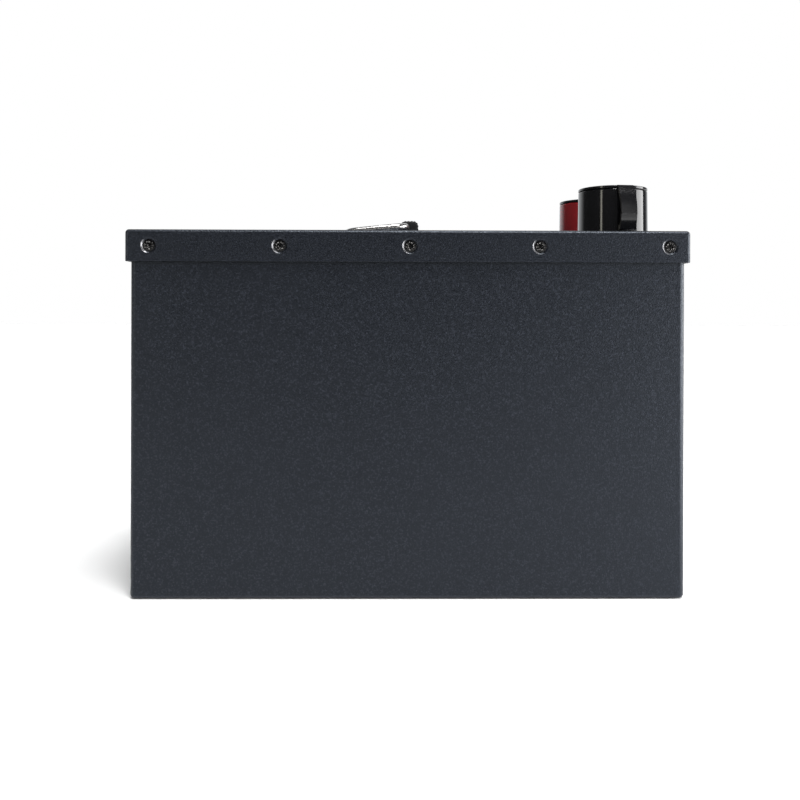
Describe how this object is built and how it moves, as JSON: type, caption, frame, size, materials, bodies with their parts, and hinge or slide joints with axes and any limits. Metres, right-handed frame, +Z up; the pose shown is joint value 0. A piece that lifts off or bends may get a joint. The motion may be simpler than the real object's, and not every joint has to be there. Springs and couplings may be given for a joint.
{
  "type": "metal-cased battery pack",
  "caption": "Rectangular steel battery case with a screwed-on skirted lid, folding wire handle and two round covered stud terminals with flip caps.",
  "frame": {"origin": "centre of the case's underside, on the surface it stands on", "axes": "+Z up, +X along the case towards its terminals, +Y across the case from its plain front face to its back"},
  "size_m": [0.329, 0.172, 0.246],
  "materials": {
    "powder_coat": "fine-textured dark charcoal powder coat",
    "gasket_rubber": "matte black",
    "black_screw": "black oxide",
    "zinc_steel": "bright zinc plating",
    "chrome_rod": "polished",
    "grip_rubber": "satin black moulded grip",
    "terminal_base_plastic": "semi-gloss black",
    "brass": "turned brass",
    "cap_plastic": "gloss black",
    "black_hood_plastic": "high-gloss black",
    "red_hood_plastic": "high-gloss dark red",
    "cell_wrap": "blue heat-shrink over an aluminium can",
    "copper": "nickel-free copper strip",
    "foam": "closed-cell foam",
    "laminate": "glass-epoxy laminate",
    "aluminium": "extruded",
    "black_cable": "silicone cable",
    "red_cable": "silicone cable"
  },
  "bodies": {
    "case": {"black_cap_hinge_pin": "zinc_steel", "black_terminal_base": "terminal_base_plastic", "black_terminal_hood": "black_hood_plastic", "black_terminal_inner_bush": "terminal_base_plastic", "black_terminal_inner_nut": "zinc_steel", "black_terminal_nut": "zinc_steel", "black_terminal_stud": "brass", "black_terminal_washer": "zinc_steel", "bms_board": "laminate", "bms_heat_sink": "aluminium", "busbar_1": "copper", "busbar_2": "copper", "busbar_3": "copper", "case_tub": "powder_coat", "cell_1": "cell_wrap", "cell_2": "cell_wrap", "cell_3": "cell_wrap", "cell_4": "cell_wrap", "cell_base_pad": "foam", "cell_top_foam": "foam", "divider_plate": "laminate", "handle_backing_plate": "zinc_steel", "handle_saddle": "zinc_steel", "handle_screw_1": "zinc_steel", "handle_screw_2": "zinc_steel", "handle_screw_3": "zinc_steel", "handle_screw_4": "zinc_steel", "lid": "powder_coat", "lid_gasket": "gasket_rubber", "lid_screw_back_1": "black_screw", "lid_screw_back_2": "black_screw", "lid_screw_back_3": "black_screw", "lid_screw_back_4": "black_screw", "lid_screw_back_5": "black_screw", "lid_screw_front_1": "black_screw", "lid_screw_front_2": "black_screw", "lid_screw_front_3": "black_screw", "lid_screw_front_4": "black_screw", "lid_screw_front_5": "black_screw", "lid_screw_left_1": "black_screw", "lid_screw_left_2": "black_screw", "lid_screw_right_1": "black_screw", "lid_screw_right_2": "black_screw", "negative_lead": "black_cable", "output_lead": "black_cable", "positive_lead": "red_cable", "red_cap_hinge_pin": "zinc_steel", "red_terminal_base": "terminal_base_plastic", "red_terminal_hood": "red_hood_plastic", "red_terminal_inner_bush": "terminal_base_plastic", "red_terminal_inner_nut": "zinc_steel", "red_terminal_nut": "zinc_steel", "red_terminal_stud": "brass", "red_terminal_washer": "zinc_steel"},
    "handle": {"handle_bail": "chrome_rod", "handle_grip": "grip_rubber"},
    "black_cap": {"black_terminal_cap": "cap_plastic"},
    "red_cap": {"red_terminal_cap": "cap_plastic"}
  },
  "joints": [
    {"name": "handle_fold", "type": "hinge", "parent": "case", "child": "handle", "pos_m": [-0.038, 0, 0.21755], "axis": [0, -1, 0], "range_deg": [0, 170]},
    {"name": "black_cap_flip", "type": "hinge", "parent": "case", "child": "black_cap", "pos_m": [0.13415, -0.06112, 0.228], "axis": [0.9936, 0.1132, 0], "range_deg": [0, 110]},
    {"name": "red_cap_flip", "type": "hinge", "parent": "case", "child": "red_cap", "pos_m": [0.12785, 0.06112, 0.228], "axis": [-0.9936, -0.1132, 0], "range_deg": [0, 110]}
  ]
}
